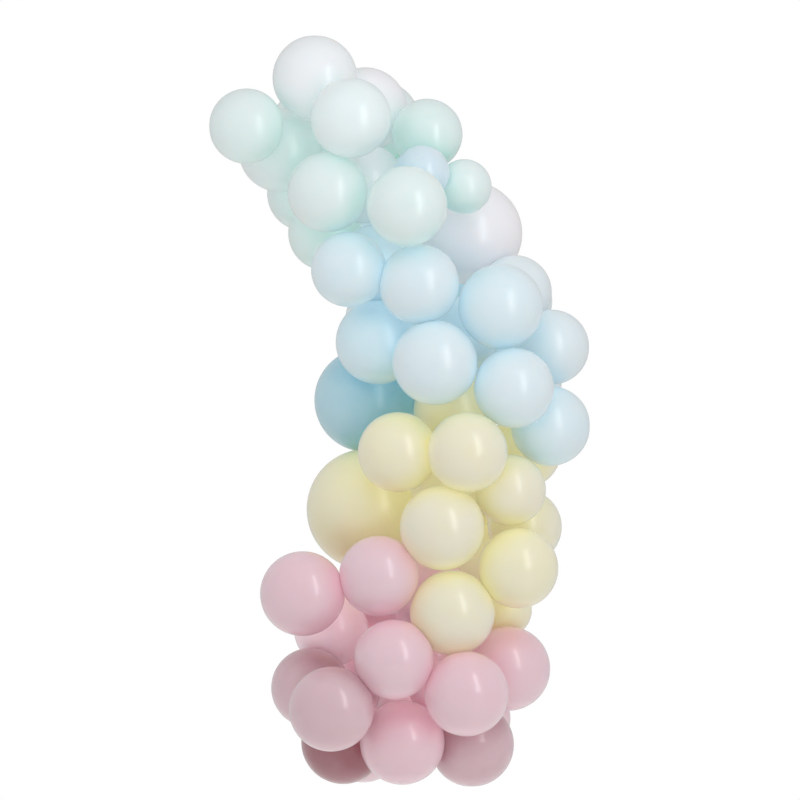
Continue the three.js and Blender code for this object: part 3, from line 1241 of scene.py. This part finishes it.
# Light that thin latex lets through from every side, so these cast no shadow: name, the
# side that it comes from, and its share.
SOFT_FILL_ANGLE = math.radians(100)
SOFT_FILLS = (
    ("fill_front", (0, -1, 0), 0.72),
    ("fill_left", (-1, 0, 0), 0.85),
    ("fill_right", (1, 0, 0), 0.95),
    ("fill_top", (0, 0, 1), 1.0),
    ("fill_low", (0, 0, -1), 0.95),
    ("fill_rear", (0, 1, 0), 0.7),
)

# Strength of the white room, from below to above, as it lights the garland, as gloss
# shows it and as the camera sees it.
ROOM_LOW, ROOM_HIGH = 0.11, 0.15
ROOM_IN_GLOSS = 0.6
ROOM_SEEN = 1.0


class GARLAND_OT_studio(bpy.types.Operator):
    """Sets the camera, the lights, the white surroundings and the pale floor"""

    bl_idname = "garland.studio"
    bl_label = "Studio"

    def execute(self, context):
        scene = context.scene
        setup = scene.garland_studio
        camera = bpy.data.cameras.new("camera")
        camera.angle = 2 * math.atan(setup.frame_width / 2 / setup.distance)
        camera.clip_end = 100
        eye = bpy.data.objects.new("camera", camera)
        scene.collection.objects.link(eye)
        middle = Vector(PICTURE_MIDDLE)
        aim(eye, middle - Vector((0, setup.distance, 0)), middle)
        scene.camera = eye

        for name, place, target, size, power, share, glossy in LAMPS:
            watts = getattr(setup, power) * share
            area_light(scene, name, place, target, size, watts, glossy)
        for name, way, share in SOFT_FILLS:
            light = bpy.data.lights.new(name, "SUN")
            light.energy = setup.fill * share
            light.angle = SOFT_FILL_ANGLE
            light.use_shadow = False
            lamp = bpy.data.objects.new(name, light)
            lamp.visible_camera = lamp.visible_glossy = False
            scene.collection.objects.link(lamp)
            aim(lamp, middle + 3 * Vector(way), middle)
        world = bpy.data.worlds.new("white_surroundings")
        world.use_nodes = True
        tree = world.node_tree
        tree.nodes.clear()
        path = add(tree, "ShaderNodeLightPath")
        where = add(tree, "ShaderNodeTexCoord").outputs["Generated"]
        way = add(tree, "ShaderNodeSeparateXYZ", Vector=where)
        shine = add(
            tree, "ShaderNodeMapRange", Value=way.outputs["Z"], From_Min=-1.0, From_Max=1.0,
            To_Min=ROOM_LOW, To_Max=ROOM_HIGH,
        )
        mirrored = add(
            tree, "ShaderNodeMapRange", Value=path.outputs["Is Glossy Ray"], To_Min=shine,
            To_Max=ROOM_IN_GLOSS,
        )
        strength = add(
            tree, "ShaderNodeMapRange", Value=path.outputs["Is Camera Ray"], To_Min=mirrored,
            To_Max=ROOM_SEEN,
        )
        around = add(
            tree, "ShaderNodeBackground", Color=linear("FFFFFF"), Strength=strength
        )
        add(tree, "ShaderNodeOutputWorld", Surface=around)
        scene.world = world
        scene.view_settings.view_transform = "Standard"

        mesh = bpy.data.meshes.new("floor")
        across, away = FLOOR_MIDDLE
        ring = [
            (
                FLOOR_RADIUS * math.cos(angle) + across,
                FLOOR_RADIUS * math.sin(angle) + away,
                setup.floor,
            )
            for angle in np.linspace(0, 2 * math.pi, FLOOR_CORNERS, endpoint=False)
        ]
        mesh.from_pydata(ring, [], [range(FLOOR_CORNERS)])
        floor = bpy.data.objects.new("floor", mesh)
        paint = bpy.data.materials.new("matt_emulsion_white_rolled")
        paint.use_nodes = True
        tree = paint.node_tree
        tree.nodes.clear()
        where = add(tree, "ShaderNodeTexCoord").outputs["Object"]
        # Wall paint put on with a roller: matt, with marks so faint that they only break
        # up the shadow.
        marks = add(
            tree, "ShaderNodeTexNoise", Vector=where, Scale=1 / ROLLER_MARKS, Detail=2.0
        )
        matt = add(
            tree, "ShaderNodeMapRange", Value=marks.outputs["Fac"], To_Min=0.75, To_Max=0.9
        )
        coat = add(
            tree, "ShaderNodeBsdfPrincipled", Base_Color=linear("F4F4F2"), Roughness=matt
        )
        add(tree, "ShaderNodeOutputMaterial", Surface=coat)
        mesh.materials.append(paint)
        scene.collection.objects.link(floor)
        return {"FINISHED"}


class GARLAND_PT_panel(bpy.types.Panel):
    """Lists the pieces of the garland and their sizes"""

    bl_idname = "GARLAND_PT_panel"
    bl_label = "Balloon garland"
    bl_space_type = "VIEW_3D"
    bl_region_type = "UI"
    bl_category = "Garland"

    def draw(self, context):
        for operator in OPERATORS:
            self.layout.operator(operator.bl_idname)
        for name in GROUPS:
            group = getattr(context.scene, name)
            box = self.layout.box()
            for prop in group.bl_rna.properties:
                if prop.identifier not in {"rna_type", "name"}:
                    box.prop(group, prop.identifier)


GROUPS = {
    "garland_balloon": BalloonShape,
    "garland_strip": StripShape,
    "garland_colours": LatexColours,
    "garland_studio": StudioSetup,
}
OPERATORS = (
    GARLAND_OT_white,
    GARLAND_OT_mint,
    GARLAND_OT_blue,
    GARLAND_OT_sky,
    GARLAND_OT_yellow,
    GARLAND_OT_pink,
    GARLAND_OT_strip,
    GARLAND_OT_studio,
)


def register():
    for group in GROUPS.values():
        bpy.utils.register_class(group)
    for name, group in GROUPS.items():
        setattr(bpy.types.Scene, name, bpy.props.PointerProperty(type=group))
    for operator in OPERATORS:
        bpy.utils.register_class(operator)
    bpy.utils.register_class(GARLAND_PT_panel)


def unregister():
    bpy.utils.unregister_class(GARLAND_PT_panel)
    for operator in reversed(OPERATORS):
        bpy.utils.unregister_class(operator)
    for name, group in GROUPS.items():
        delattr(bpy.types.Scene, name)
        bpy.utils.unregister_class(group)


def main():
    register()
    bpy.ops.garland.white()
    bpy.ops.garland.mint()
    bpy.ops.garland.blue()
    bpy.ops.garland.sky()
    bpy.ops.garland.yellow()
    bpy.ops.garland.pink()
    bpy.ops.garland.strip()
    bpy.ops.garland.studio()


if __name__ == "__main__":
    main()
